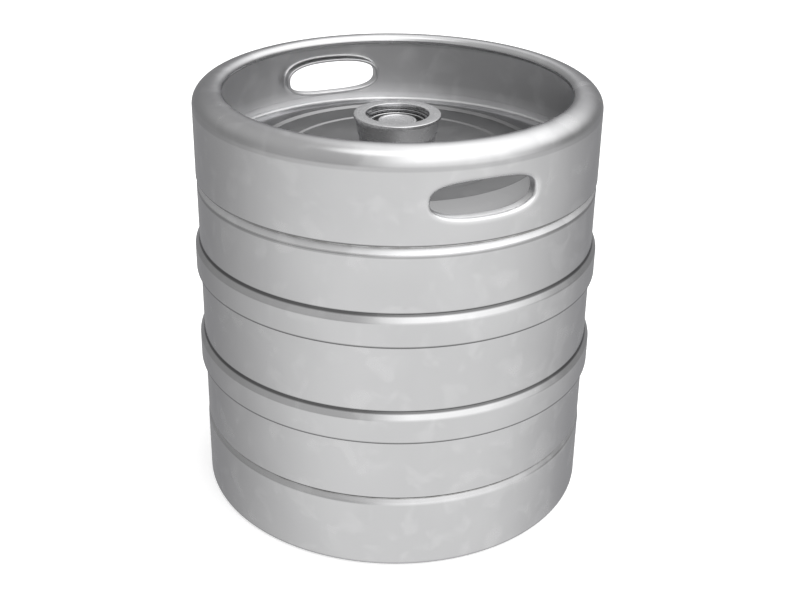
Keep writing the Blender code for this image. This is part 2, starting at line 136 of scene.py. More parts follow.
SEAL_TOP = top_of("gas_seal")
CUP_TOP = top_of("spear_cup")
VALVE_TOP = top_of("beer_valve")
GAS_COIL = (24.2, 2.2, 7)    # each spring's mean radius, wire and number of turns
BEER_COIL = (14.0, 1.6, 4)

# lines round the keg where painted shade darkens the steel in its tight corners and creases, as
# (height, half width, strength): both edges of each rolling ring, the chimes' edges, the rim's foot
CREASE_SHADE = [
    (SEAM + RING_OFFSET + RING_HALF - 0.2, 2.4, 0.72),
    (SEAM + RING_OFFSET - RING_HALF - 0.1, 2.6, 0.72),
    (SEAM - RING_OFFSET + RING_HALF - 0.2, 2.4, 0.72),
    (SEAM - RING_OFFSET - RING_HALF - 0.1, 2.6, 0.72),
    (FOOT_HEAD + 0.8, 1.8, 0.5),
    (CHIME_FOOT - 9.4, 1.6, 0.3),
    (CHIME_FOOT + 0.2, 1.8, 0.6),
    (KEG_HEIGHT - 15.0, 3.5, 0.16),
]

BODY_SIDES = 288
NECK_SIDES = 128


# ---- mesh helpers --------------------------------------------------------------------------------
def arc(centre_r, centre_z, radius, start, end, steps):
    points = []
    for i in range(steps + 1):
        angle = radians(start + (end - start) * i / steps)
        points.append((centre_r + radius * cos(angle), centre_z + radius * sin(angle)))
    return points


def rounded(corners, closed=True):
    """A profile whose corners (radius, height, fillet) are rounded by arcs of about 8 degrees a step."""
    points = []
    last = len(corners) - 1
    for i, (r, z, fillet) in enumerate(corners):
        if fillet == 0.0 or (not closed and i in (0, last)):
            points.append((r, z))
            continue
        before = corners[i - 1]
        after = corners[0] if i == last else corners[i + 1]
        back = Vector((before[0] - r, before[1] - z))
        ahead = Vector((after[0] - r, after[1] - z))
        half = back.angle(ahead) / 2
        cut = min(fillet / tan(half), 0.49 * back.length, 0.49 * ahead.length)
        radius = cut * tan(half)
        to_centre = (back.normalized() + ahead.normalized()).normalized()
        centre = Vector((r, z)) + to_centre * radius / sin(half)
        start = Vector((r, z)) + back.normalized() * cut - centre
        end = Vector((r, z)) + ahead.normalized() * cut - centre
        turn = atan2(start.x * end.y - start.y * end.x, start.dot(end))
        steps = max(2, ceil(abs(turn) / radians(8)))
        for k in range(steps + 1):
            a = turn * k / steps
            x = centre.x + start.x * cos(a) - start.y * sin(a)
            y = centre.y + start.x * sin(a) + start.y * cos(a)
            points.append((x, y))
    return points


def new_object(name, vertices, faces, sharp=30.0):
    """A mesh object in metres from vertices in millimetres, with smooth shading and outward normals."""
    mesh = bpy.data.meshes.new(name)
    mesh.from_pydata([(x * MM, y * MM, z * MM) for x, y, z in vertices], [], faces)
    bm = bmesh.new()
    bm.from_mesh(mesh)
    bmesh.ops.remove_doubles(bm, verts=bm.verts, dist=0.000002)
    bmesh.ops.recalc_face_normals(bm, faces=bm.faces)
    bm.to_mesh(mesh)
    bm.free()
    mesh.shade_smooth()
    mesh.set_sharp_from_angle(angle=radians(sharp))
    obj = bpy.data.objects.new(name, mesh)
    bpy.context.scene.collection.objects.link(obj)
    return obj


def lathe(name, profile, sides=BODY_SIDES, closed=True, start=0.0, sweep=360.0, sharp=30.0):
    """The profile turned round Z. A sweep under 360 degrees gets flat ends."""
    whole = sweep >= 360.0
    columns = sides if whole else sides + 1
    count = len(profile)
    vertices = []
    for i in range(columns):
        angle = radians(start + sweep * i / sides)
        c, s = cos(angle), sin(angle)
        vertices += [(r * c, r * s, z) for r, z in profile]
    faces = []
    spans = count if closed else count - 1
    for i in range(sides):
        a = i * count
        b = ((i + 1) % columns) * count
        for j in range(spans):
            k = (j + 1) % count
            faces.append((a + j, a + k, b + k, b + j))
    if not whole:
        faces.append(tuple(range(count)))
        faces.append(tuple(range((columns - 1) * count, columns * count)))
    return new_object(name, vertices, faces, sharp)


def ripple(obj, waves, depth, centre_r, centre_z):
    """Gives a weld bead its overlapping ripples: points move towards the bead's own centre."""
    for v in obj.data.vertices:
        angle = atan2(v.co.y, v.co.x)
        r = hypot(v.co.x, v.co.y)
        phase = (angle * waves / (2 * pi)) % 1.0
        pull = depth * MM * phase * phase
        pull += 0.35 * depth * MM * (0.5 + 0.5 * sin(angle * 7.0 + 2.0 * sin(angle * 3.0)))
        away = Vector((r - centre_r * MM, v.co.z - centre_z * MM))
        if away.length > 1e-7:
            step = away.normalized() * pull
            scale = (r - step.x) / r
            v.co = (v.co.x * scale, v.co.y * scale, v.co.z - step.y)


def coil(name, radius, wire, bottom, top, turns, ring=14, per_turn=48):
    """A compression spring: a round wire swept along a helix, cut flat at both ends."""
    low = bottom + wire / 2
    rise = top - bottom - wire
    count = turns * per_turn + 1
    vertices = []
    faces = []
    for i in range(count):
        along = i / (count - 1)
        angle = 2 * pi * turns * along
        out = Vector((cos(angle), sin(angle), 0.0))
        slope = rise / (2 * pi * turns)
        tangent = Vector((-radius * sin(angle), radius * cos(angle), slope)).normalized()
        up = out.cross(tangent) * -1.0
        centre = out * radius + Vector((0.0, 0.0, low + rise * along))
        for k in range(ring):
            a = 2 * pi * k / ring
            vertices.append(tuple(centre + (out * cos(a) + up * sin(a)) * (wire / 2)))
    for i in range(count - 1):
        for k in range(ring):
            m = (k + 1) % ring
            faces.append((i * ring + k, i * ring + m, (i + 1) * ring + m, (i + 1) * ring + k))
    faces.append(tuple(range(ring)))
    faces.append(tuple(range((count - 1) * ring, count * ring)))
    return new_object(name, vertices, faces)


# ---- shader helpers ------------------------------------------------------------------------------
def map_range(tree, value, low, high, out_low, out_high):
    """A smooth step from out_low to out_high as value goes from low to high. All may be sockets."""
    node = tree.nodes.new("ShaderNodeMapRange")
    node.interpolation_type = "SMOOTHSTEP"
    node.clamp = True
    names = ("From Min", "From Max", "To Min", "To Max")
    for name, number in zip(names, (low, high, out_low, out_high)):
        if isinstance(number, (int, float)):
            node.inputs[name].default_value = number
        else:
            tree.links.new(number, node.inputs[name])
    tree.links.new(value, node.inputs["Value"])
    return node.outputs["Result"]


class Shader:
    """A material's node tree, with short calls for the nodes used here."""

    def __init__(self, name, metallic, roughness, tint=(1.0, 1.0, 1.0), specular=0.5):
        self.material = bpy.data.materials.new(name)
        self.material.use_nodes = True
        self.tree = self.material.node_tree
        self.bsdf = self.tree.nodes["Principled BSDF"]
        self.bsdf.inputs["Metallic"].default_value = metallic
        self.bsdf.inputs["Roughness"].default_value = roughness
        self.bsdf.inputs["Specular IOR Level"].default_value = specular
        self.bsdf.inputs["Specular Tint"].default_value = (*tint, 1.0)
        self.coords = self.tree.nodes.new("ShaderNodeTexCoord").outputs["Object"]

    def link(self, source, target):
        self.tree.links.new(source, target)

    def math(self, operation, a, b=0.0, c=0.0, clamp=False):
        node = self.tree.nodes.new("ShaderNodeMath")
        node.operation = operation
        node.use_clamp = clamp
        for socket, value in zip(node.inputs, (a, b, c)):
            if isinstance(value, (int, float)):
                socket.default_value = value
            else:
                self.link(value, socket)
        return node.outputs[0]

    def noise(self, scale, detail=3.0, rough=0.55, vector=None, distortion=0.0):
        node = self.tree.nodes.new("ShaderNodeTexNoise")
        node.inputs["Scale"].default_value = scale
        node.inputs["Detail"].default_value = detail
        node.inputs["Roughness"].default_value = rough
        node.inputs["Distortion"].default_value = distortion
        self.link(vector or self.coords, node.inputs["Vector"])
        return node.outputs["Fac"]

    def ramp(self, value, low, high, out_low=0.0, out_high=1.0):
        return map_range(self.tree, value, low, high, out_low, out_high)

    def stretched(self, x, y, z):
        node = self.tree.nodes.new("ShaderNodeVectorMath")
        node.operation = "MULTIPLY"
        node.inputs[1].default_value = (x, y, z)
        self.link(self.coords, node.inputs[0])
        return node.outputs["Vector"]

    def axes(self):
        """The x, y and z of the shaded point."""
        split = self.tree.nodes.new("ShaderNodeSeparateXYZ")
        self.link(self.coords, split.inputs[0])
        return split.outputs

    def radius(self, x, y):
        squares = self.math("ADD", self.math("MULTIPLY", x, x), self.math("MULTIPLY", y, y))
        return self.math("SQRT", squares)

    def round_the_axis(self, turns, radial, height):
        """Cylinder coordinates: angle, radius and height, each scaled, for marks left by turning."""
        x, y, z = self.axes()
        angle = self.math("ARCTAN2", y, x)
        join = self.tree.nodes.new("ShaderNodeCombineXYZ")
        scaled = ((angle, turns), (self.radius(x, y), radial), (z, height))
        for (value, factor), socket in zip(scaled, join.inputs):
            self.link(self.math("MULTIPLY", value, factor), socket)
        return join.outputs[0]

    def colour(self, low, high, factor, shade=None):
        """Base colour between low and high by the factor, times the shade: 0 is black, over 1 lighter."""
        node = self.tree.nodes.new("ShaderNodeMix")
        node.data_type = "RGBA"
        a, b, result = node.inputs[6], node.inputs[7], node.outputs[2]
        a.default_value = (*low, 1.0)
        b.default_value = (*high, 1.0)
        self.link(factor, node.inputs["Factor"])
        if shade is not None:
            scale = self.tree.nodes.new("ShaderNodeVectorMath")
            scale.operation = "SCALE"
            self.link(result, scale.inputs[0])
            self.link(shade, scale.inputs["Scale"])
            result = scale.outputs["Vector"]
        self.link(result, self.bsdf.inputs["Base Color"])

    def rough(self, value):
        self.link(value, self.bsdf.inputs["Roughness"])

    def bump(self, height, strength, distance, normal=None):
        node = self.tree.nodes.new("ShaderNodeBump")
        node.inputs["Strength"].default_value = strength
        node.inputs["Distance"].default_value = distance
        self.link(height, node.inputs["Height"])
        if normal is not None:
            self.link(normal, node.inputs["Normal"])
        self.link(node.outputs["Normal"], self.bsdf.inputs["Normal"])
        return node.outputs["Normal"]


def painted_sheet_shade(s):
    """Painted shade and painted light on the keg's sheet: a factor for its colour, and a mask of inner
    faces.
    """
    x, y, z = s.axes()
    r = s.radius(x, y)

    def below(value, limit, blend):
        return s.ramp(value, limit * MM, (limit + blend) * MM, 1.0, 0.0)

    def above(value, limit, blend):
        return s.ramp(value, limit * MM, (limit + blend) * MM, 0.0, 1.0)

    shade = 1.0
    # painted shade: each crease line darkens the colour of the steel
    for height, half, strength in CREASE_SHADE:
        off = s.math("ABSOLUTE", s.math("SUBTRACT", z, height * MM))
        crease = s.ramp(off, half * 0.35 * MM, half * MM, 1.0 - strength, 1.0)
        shade = s.math("MULTIPLY", crease, shade)

    # the head's sunk floor is darkened with painted shade, and the rounded corner round it lightened with
    # a painted highlight
    inside = below(r, CHIME_RADIUS - 1.4, 0.6)
    inner = s.math("MULTIPLY", inside, below(z, KEG_HEIGHT - 14.0, 3.0))
    head_band = s.math("MULTIPLY", below(z, HEAD_FLOOR + 8.0, 4.0), above(z, HEAD_FLOOR - 40.0, 10.0))
    head = s.math("MULTIPLY", head_band, inside)
    shade_to_highlight = s.ramp(r, 156.0 * MM, 178.0 * MM, -0.52, 0.34)
    shade = s.math("MULTIPLY_ADD", head, shade_to_highlight, shade)

    # the chime's inner wall is lightened with painted light, and painted shadow darkens the steel under
    # the curl of the rim
    over_head = above(z, HEAD_FLOOR + 8.0, 4.0)
    wall = s.math("MULTIPLY", inner, over_head)
    shade = s.math("MULTIPLY_ADD", wall, 0.26, shade)
    curl = s.math("MULTIPLY", below(r, 163.0, 2.0), below(z, KEG_HEIGHT - 9.0, 2.0))
    shade = s.math("MULTIPLY_ADD", s.math("MULTIPLY", curl, over_head), -0.55, shade)
    return shade, inner


def satin_steel(name, dark, light, rough_low, rough_high, on_keg=True):
    """Pickled sheet steel: soft lighter blotches, faint vertical streaks, a fine matte grain.

    On the keg itself it also carries painted shade in the creases, on the head's floor and under the
    rim's curl, painted light on the corner round the head and on the chime's inner wall, and it is
    rougher inside.
    """
    s = Shader(name, 1.0, 0.25, tint=(0.78, 0.78, 0.80))
    blotch = s.ramp(s.noise(38.0, 2.0, 0.5, distortion=0.4), 0.50, 0.68)
    patch = s.ramp(s.noise(12.0, 2.0, 0.5), 0.38, 0.66)
    streak = s.noise(1.0, 3.0, 0.6, vector=s.stretched(60.0, 60.0, 9.0))
    mix = s.math("MULTIPLY_ADD", blotch, 0.45, s.math("MULTIPLY", patch, 0.30))
    mix = s.math("MULTIPLY_ADD", streak, 0.18, mix, clamp=True)
    grain = s.noise(900.0, 2.0, 0.6)
    spread = s.math("ADD", s.math("MULTIPLY", mix, 0.7), s.math("MULTIPLY", grain, 0.3))
    roughness = s.ramp(spread, 0.0, 1.0, rough_low, rough_high)
    if on_keg:
        # the keg's colour carries painted shade and painted light from where the point lies
        shade, inner = painted_sheet_shade(s)
        s.colour(dark, light, mix, shade)
        s.rough(s.math("MULTIPLY_ADD", inner, 0.16, roughness))
    else:
        s.colour(dark, light, mix)
        s.rough(roughness)
    swell = s.bump(s.noise(16.0, 2.0, 0.45), 0.08, 0.004)
    s.bump(grain, 0.06, 0.0002, normal=swell)
    return s.material


def turned_steel(name, dark, light, roughness):
    """Machined steel: fine rings left by the tool, and faint stains."""
    s = Shader(name, 1.0, roughness, tint=(0.80, 0.80, 0.82))
    rings = s.noise(1.0, 3.0, 0.7, vector=s.round_the_axis(0.6, 2600.0, 2600.0))
    stain = s.noise(90.0, 3.0, 0.6)
    mix = s.math("MULTIPLY_ADD", rings, 0.5, s.math("MULTIPLY", stain, 0.5), clamp=True)
    s.colour(dark, light, mix)
    s.rough(s.ramp(mix, 0.25, 0.75, roughness * 0.8, roughness * 1.3))
    s.bump(rings, 0.14, 0.00008)
    return s.material


def weld_steel(name):
    s = Shader(name, 1.0, 0.42)
    heat = s.noise(60.0, 3.0, 0.6)
    s.colour((0.34, 0.335, 0.33), (0.56, 0.56, 0.56), s.ramp(heat, 0.3, 0.7))
    fine = s.noise(1400.0, 3.0, 0.6)
    s.rough(s.ramp(fine, 0.2, 0.8, 0.34, 0.52))
    s.bump(fine, 0.25, 0.0001)
    return s.material


def wire_steel(name):
    s = Shader(name, 1.0, 0.26)
    drawn = s.noise(1.0, 3.0, 0.6, vector=s.stretched(300.0, 300.0, 2400.0))
    s.colour((0.36, 0.36, 0.37), (0.52, 0.52, 0.53), drawn)
    s.rough(s.ramp(drawn, 0.2, 0.8, 0.20, 0.34))
    s.bump(drawn, 0.12, 0.00005)
    return s.material


def rubber(name):
    s = Shader(name, 0.0, 0.55, specular=0.35)
    dust = s.noise(220.0, 4.0, 0.6)
    s.colour((0.012, 0.012, 0.013), (0.035, 0.035, 0.036), dust)
    grain = s.noise(2600.0, 2.0, 0.6)
    s.rough(s.ramp(grain, 0.2, 0.8, 0.45, 0.68))
    s.bump(grain, 0.2, 0.00006)
    return s.material


def plastic(name):
    s = Shader(name, 0.0, 0.45, specular=0.5)
    cloud = s.noise(140.0, 3.0, 0.5)
    s.colour((0.70, 0.70, 0.66), (0.82, 0.82, 0.79), cloud)
    grain = s.noise(1800.0, 2.0, 0.5)
    s.rough(s.ramp(grain, 0.2, 0.8, 0.38, 0.52))
    s.bump(grain, 0.12, 0.00005)
    return s.material


# ---- the keg's shells ----------------------------------------------------------------------------
def ring_outside(centre):
    """A rolling ring from above it to below it: a crease, a sloping shoulder and a tight lower edge."""
    top = centre + RING_HALF
    bottom = centre - RING_HALF
    return rounded(
        [
            (BODY_RADIUS, top + 6.0, 0.0),
            (BODY_RADIUS, top + 0.9, 0.8),
            (BODY_RADIUS - 0.45, top + 0.2, 0.5),
            (BODY_RADIUS + 0.1, top - 0.7, 0.8),
            (RING_RADIUS, top - 6.6, 4.0),
            (RING_RADIUS, bottom, 1.2),
            (BODY_RADIUS - 0.3, bottom - 0.5, 0.5),
            (BODY_RADIUS, bottom - 1.6, 1.0),
            (BODY_RADIUS, bottom - 6.0, 0.0),
        ],
        closed=False,
    )


def ring_inside(centre):
    top = centre + RING_HALF
    bottom = centre - RING_HALF
    inner = BODY_RADIUS - SHELL_WALL
    return [
        (inner, bottom + 1.0),
        (RING_RADIUS - SHELL_WALL, bottom + 2.6),
        (RING_RADIUS - SHELL_WALL, top - 7.6),
        (inner, top - 1.4),
    ]


def build_upper_shell():
    """The upper half of the body: its ring, the rounded corner under the chime, and the head."""
    floor = HEAD_FLOOR
    foot = CHIME_FOOT
    seam = SEAM + 1.5
    inner = BODY_RADIUS - SHELL_WALL
    head = rounded(
        [
            (SPIGOT_RADIUS + 1.0, floor, 0.0),
            (HEAD_BEAD - 1.0, floor, 3.0),
            (HEAD_BEAD + 1.0, floor + 1.2, 3.0),
            (HEAD_STEP - 2.4, floor + 1.2, 1.5),
            (HEAD_STEP, floor + 4.0, 2.0),
            (150.0, floor + 0.4, 60.0),
            (175.0, floor - 8.4, 8.0),
            (184.8, floor - 8.4, 8.2),
            (184.8, floor + 1.0, 0.0),
            (185.0, floor + 1.0, 0.0),
            (184.8, foot + 6.4, 2.0),
            (182.4, foot + 2.0, 3.0),
            (182.5, foot - 3.0, 1.5),
            (186.0, foot - 7.4, 1.2),
            (186.5, foot - 9.0, 0.6),
            (BODY_RADIUS, foot - 10.4, 0.8),
            (BODY_RADIUS, SEAM + RING_OFFSET + RING_HALF + 8.0, 0.0),
        ],
        closed=False,
    )
    inside = [(inner, seam)]
    inside += ring_inside(SEAM + RING_OFFSET)
    inside += [
        (inner, foot - 10.6),
        (181.2, foot - 3.8),
        (180.9, foot + 1.8),
        (179.2, foot + 4.6),
        (174.0, floor - 9.6),
        (163.6, floor - 6.0),
        (149.6, floor - 1.4),
        (HEAD_STEP + 0.6, floor + 2.2),
        (HEAD_STEP - 2.2, floor - 0.3),
        (HEAD_BEAD + 1.2, floor - 0.3),
        (HEAD_BEAD - 0.8, floor - SHELL_WALL),
        (SPIGOT_RADIUS + 1.0, floor - SHELL_WALL),
    ]
    profile = head + ring_outside(SEAM + RING_OFFSET) + [(BODY_RADIUS, seam)] + inside
    return lathe("body_upper", profile, sharp=40.0)


def build_lower_shell():
    """The lower half of the body with its ring and the domed bottom."""
    seam = SEAM - 1.5
    head = FOOT_HEAD
    inner = BODY_RADIUS - SHELL_WALL
    inside = [
        (0.0, BOTTOM_MIDDLE + SHELL_WALL),
        (60.0, 39.0),
        (110.0, 47.1),
        (150.0, 57.2),
        (171.2, 62.9),
        (178.7, head - 7.8),
        (179.8, head + 0.2),
        (182.0, head + 2.0),
        (inner, head + 4.0),
    ]
    inside += ring_inside(SEAM - RING_OFFSET)
    inside.append((inner, seam))
    outside = [(BODY_RADIUS, seam)] + ring_outside(SEAM - RING_OFFSET)
    outside += rounded(
        [
            (BODY_RADIUS, SEAM - RING_OFFSET - RING_HALF - 8.0, 0.0),
            (BODY_RADIUS, head + 1.5, 1.4),
            (181.4, head + 0.3, 1.0),
            (180.2, head - 9.0, 6.0),
            (172.0, 61.3, 20.0),
            (150.0, 55.5, 80.0),
            (110.0, 45.5, 150.0),
            (60.0, 37.5, 120.0),
            (18.0, BOTTOM_MIDDLE, 60.0),
            (0.0, BOTTOM_MIDDLE, 0.0),
        ],
        closed=False,
    )
    return lathe("body_lower", inside + outside, closed=False, sharp=40.0)


def build_foot_chime():
    """The foot chime: a straight wall, rolled in at the floor and ending in a curled bead."""
    inner = CHIME_RADIUS - CHIME_WALL
    roll_r = CHIME_RADIUS - FOOT_ROLL
    bead_r = roll_r - FOOT_FLAT
    head = FOOT_HEAD
    outside = rounded(
        [
            (183.0, head - 0.4, 0.0),
            (183.5, head, 0.4),
            (CHIME_RADIUS, head - 6.0, 4.5),
            (CHIME_RADIUS, head - 12.0, 0.0),
        ],
        closed=False,
    )
    outside += arc(roll_r, FOOT_ROLL, FOOT_ROLL, 0, -90, 14)
    outside += arc(bead_r, FOOT_BEAD, FOOT_BEAD, 270, 170, 12)
    inside = arc(bead_r, FOOT_BEAD, FOOT_BEAD - CHIME_WALL, 170, 270, 10)
    inside += arc(roll_r, FOOT_ROLL, FOOT_ROLL - CHIME_WALL, -90, 0, 12)
    inside += [(inner, head - 6.8), (182.0, head - 1.2)]
    return lathe("chime_foot", outside + inside, sharp=40.0)


# ---- top chime, with its two hemmed hand slots ---------------------------------------------------
CHIME_SIDES = 360
PATCH_HALF = 20              # columns of the chime's grid each side of a slot's middle
WALL_ROWS = 20               # rows of the chime's grid from under the slot to the rim's roll
WALL_LOW = 328.0
HEM_FILLET = 5.5             # rounding where the wall turns into the slot's hem


def wall_y(x, depth):
    """Distance from the axis plane, at x across, of a point that is depth inside the chime's wall."""
    outer = sqrt(CHIME_RADIUS ** 2 - x * x)
    inner = sqrt((CHIME_RADIUS - CHIME_WALL) ** 2 - x * x)
    return outer - depth * (outer - inner) / CHIME_WALL


def hem_profile():
    """(distance from the slot's edge, depth into the wall) from the outer wall round to the inner one."""
    centre = HEM_FILLET
    end = CHIME_RADIUS - HEM_END_RADIUS
    lip = 1.7
    points = []
    for i in range(9):
        a = radians(90 * i / 8)
        points.append((centre - HEM_FILLET * sin(a), centre - HEM_FILLET * cos(a)))
    points.append((0.0, (centre + end - lip) / 2))
    for i in range(11):
        a = radians(200 * i / 10)
        points.append((lip - lip * cos(a), end - lip + lip * sin(a)))
    points.append((CHIME_WALL + 0.4, end - 2.6 * lip))
    points.append((CHIME_WALL, (centre + end - lip) / 2))
    inner_fillet = HEM_FILLET - CHIME_WALL
    for i in range(6):
        a = radians(90 - 90 * i / 5)
        points.append((centre - inner_fillet * sin(a), centre - inner_fillet * cos(a)))
    return points


def slot_outline(x, z, offset):
    """The point of the slot's outline, grown by offset, that a wall point at (x, z) is joined to."""
    angle = atan2(z / SLOT_HALF_HEIGHT, x / SLOT_HALF_WIDTH)
    c, s = cos(angle), sin(angle)
    share_x = abs(c) ** (2 / SLOT_POWER)
    share_z = abs(s) ** (2 / SLOT_POWER)
    side_x = 1 if c >= 0 else -1
    side_z = 1 if s >= 0 else -1
    away = Vector((
        side_x * share_x ** (SLOT_POWER - 1) / SLOT_HALF_WIDTH,
        side_z * share_z ** (SLOT_POWER - 1) / SLOT_HALF_HEIGHT,
    )).normalized()
    edge = Vector((side_x * share_x * SLOT_HALF_WIDTH, side_z * share_z * SLOT_HALF_HEIGHT))
    return edge + away * offset


def rim_profile():
    """Outer skin of the rolled rim: up from the wall, over the crown, round the curled inner edge."""
    wide = CHIME_RADIUS - RIM_CREST
    curl_z = KEG_HEIGHT - RIM_CURL_DROP
    points = []
    for i in range(25):
        a = radians(90 * i / 24)
        points.append((RIM_CREST + wide * cos(a), KEG_HEIGHT - RIM_ROLL + RIM_ROLL * sin(a)))
    inward = RIM_CREST - RIM_INNER
    for i in range(1, 13):
        a = radians(90 * i / 12)
        points.append((RIM_CREST - inward * sin(a), curl_z + RIM_CURL_DROP * cos(a)))
    for i in range(1, 13):
        a = radians(130 * i / 12)
        points.append((RIM_INNER + RIM_CURL_RADIUS * (1 - cos(a)), curl_z - RIM_CURL_DEPTH * sin(a)))
    return points


def offset_inward(points, distance):
    """The same profile moved to its right-hand side by the sheet's thickness."""
    moved = []
    for i, (r, z) in enumerate(points):
        before = points[max(0, i - 1)]
        after = points[min(len(points) - 1, i + 1)]
        along = Vector((after[0] - before[0], after[1] - before[1])).normalized()
        moved.append((r - along.y * distance, z + along.x * distance))
    return moved


def build_top_chime():
    """The top chime: a turned grid, with a patch left out round each slot and filled by its hem."""
    inner = CHIME_RADIUS - CHIME_WALL
    roll_z = KEG_HEIGHT - RIM_ROLL
    foot = CHIME_FOOT
    skin = rim_profile()
    under = offset_inward(skin, CHIME_WALL)
    rows = [roll_z + (WALL_LOW - roll_z) * i / WALL_ROWS for i in range(WALL_ROWS + 1)]

    profile = list(reversed(skin))[:-1]
    outer_first = len(profile)
    profile += [(CHIME_RADIUS, z) for z in rows]
    profile += rounded(
        [(CHIME_RADIUS, foot + 8.0, 0.0), (CHIME_RADIUS, foot, 2.8), (184.4, foot, 0.0)], closed=False
    )
    profile += [(183.2, foot + 1.3), (inner - 0.6, foot + 2.8), (inner, foot + 5.0)]
    inner_first = len(profile)
    profile += [(inner, z) for z in reversed(rows)]
    profile += under[1:]

    count = len(profile)
    vertices = []
    for i in range(CHIME_SIDES):
        angle = 2 * pi * i / CHIME_SIDES
        vertices += [(r * cos(angle), r * sin(angle), z) for r, z in profile]

    def at(column, row):
        return (column % CHIME_SIDES) * count + row

    def in_patch(column, row):
        middle = CHIME_SIDES // 4
        for centre in (middle, 3 * middle):
            beside = (column - centre + CHIME_SIDES) % CHIME_SIDES
            if beside < PATCH_HALF or beside >= CHIME_SIDES - PATCH_HALF:
                for first in (outer_first, inner_first):
                    if first <= row < first + WALL_ROWS:
                        return True
        return False

    faces = []
    for i in range(CHIME_SIDES):
        for j in range(count):
            if not in_patch(i, j):
                k = (j + 1) % count
                faces.append((at(i, j), at(i, k), at(i + 1, k), at(i + 1, j)))

    for sign in (-1, 1):
        middle = CHIME_SIDES // 4 if sign > 0 else 3 * CHIME_SIDES // 4
        # the patch's border, once round, as (column, row counted down from the rim's roll)
        border = [(-PATCH_HALF + i, 0) for i in range(2 * PATCH_HALF)]
        border += [(PATCH_HALF, j) for j in range(WALL_ROWS)]
        border += [(PATCH_HALF - i, WALL_ROWS) for i in range(2 * PATCH_HALF)]
        border += [(-PATCH_HALF, WALL_ROWS - j) for j in range(WALL_ROWS)]

        def loop_on_wall(share, depth):
            """A loop on the wall's face: share 0 is the patch's border, 1 is where the hem starts."""
            ids = []
            radius = CHIME_RADIUS if depth == 0.0 else inner
            for column, row in border:
                angle = 2 * pi * column / CHIME_SIDES
                x, z = radius * sin(angle), rows[row] - SLOT_Z
                px, pz = Vector((x, z)).lerp(slot_outline(x, z, HEM_FILLET), share)
                ids.append(len(vertices))
                vertices.append((px * -sign, sign * sqrt(radius * radius - px * px), SLOT_Z + pz))
            return ids

        def loop_on_hem(offset, depth):
            ids = []
            for column, row in border:
                angle = 2 * pi * column / CHIME_SIDES
                x, z = CHIME_RADIUS * sin(angle), rows[row] - SLOT_Z
                px, pz = slot_outline(x, z, offset)
                ids.append(len(vertices))
                vertices.append((px * -sign, sign * wall_y(px, depth), SLOT_Z + pz))
            return ids

        loops = [[at(middle + column, outer_first + row) for column, row in border]]
        loops += [loop_on_wall(share, 0.0) for share in (0.3, 0.6, 0.85)]
        loops += [loop_on_hem(offset, depth) for offset, depth in hem_profile()]
        loops += [loop_on_wall(share, CHIME_WALL) for share in (0.7, 0.35)]
        loops.append([at(middle + column, inner_first + WALL_ROWS - row) for column, row in border])
        for near, far in zip(loops, loops[1:]):
            for i in range(len(border)):
                k = (i + 1) % len(border)
                faces.append((near[i], near[k], far[k], far[i]))
    return new_object("chime_top", vertices, faces, sharp=40.0)


# ---- welds ---------------------------------------------------------------------------------------
def build_welds():
    foot = CHIME_FOOT
    head = FOOT_HEAD
    wall_in = BODY_RADIUS - SHELL_WALL
    girth = [
        (BODY_RADIUS, SEAM + 1.5),
        (BODY_RADIUS, SEAM - 1.5),
        (wall_in, SEAM - 1.5),
        (wall_in, SEAM + 1.5),
    ]
    upper = rounded(
        [
            (184.2, foot - 0.4, 0.2),
            (184.5, foot - 1.4, 0.6),
            (184.0, foot - 2.4, 0.4),
            (183.3, foot - 2.6, 0.0),
            (183.0, foot - 0.6, 0.0),
        ]
    )
    lower = rounded(
        [
            (185.0, head + 0.45, 0.2),
            (185.3, head - 0.2, 0.4),
            (184.7, head - 0.9, 0.2),
            (184.2, head - 0.35, 0.0),
            (183.9, head + 0.25, 0.0),
        ]
    )
    neck = rounded(
        [
            (SPIGOT_RADIUS + 0.4, HEAD_FLOOR + 6.0, 0.4),
            (37.8, HEAD_FLOOR + 5.2, 2.0),
            (41.8, HEAD_FLOOR + 2.2, 2.0),
            (42.6, HEAD_FLOOR + 0.4, 0.4),
            (SPIGOT_RADIUS + 0.4, HEAD_FLOOR + 0.4, 0.0),
        ]
    )
    made = {
        "girth_weld": lathe("weld_girth", girth),
        "top_chime_weld": lathe("weld_top_chime", upper),
        "bottom_chime_weld": lathe("weld_foot_chime", lower),
        "neck_weld": lathe("weld_neck", neck, sides=480),
    }
    ripple(made["neck_weld"], 96, 0.45, 37.0, HEAD_FLOOR + 1.0)
    return made


# ---- neck and valve ------------------------------------------------------------------------------
def build_neck():
    profile = rounded(
        [
            (FLANGE_RADIUS, NECK_TOP, 0.7),
            (FLANGE_RADIUS, NECK_TOP - 3.6, 0.5),
            (39.2, NECK_TOP - 4.1, 0.6),
            (36.9, NECK_TOP - 18.0, 0.3),
            (SPIGOT_RADIUS, NECK_TOP - 18.6, 0.6),
            (SPIGOT_RADIUS, NECK_BOTTOM, 0.4),
            (28.0, NECK_BOTTOM, 0.3),
            (28.0, NECK_SHOULDER, 0.2),
            (NECK_BORE, NECK_SHOULDER, 0.2),
            (NECK_BORE, CLIP_LOW, 0.2),
            (CLIP_GROOVE, CLIP_LOW, 0.3),
            (CLIP_GROOVE, CLIP_HIGH, 0.3),
            (NECK_BORE, CLIP_HIGH, 0.3),
            (NECK_BORE, NECK_TOP, 0.6),
        ]
    )
    return lathe("neck_forging", profile, NECK_SIDES)


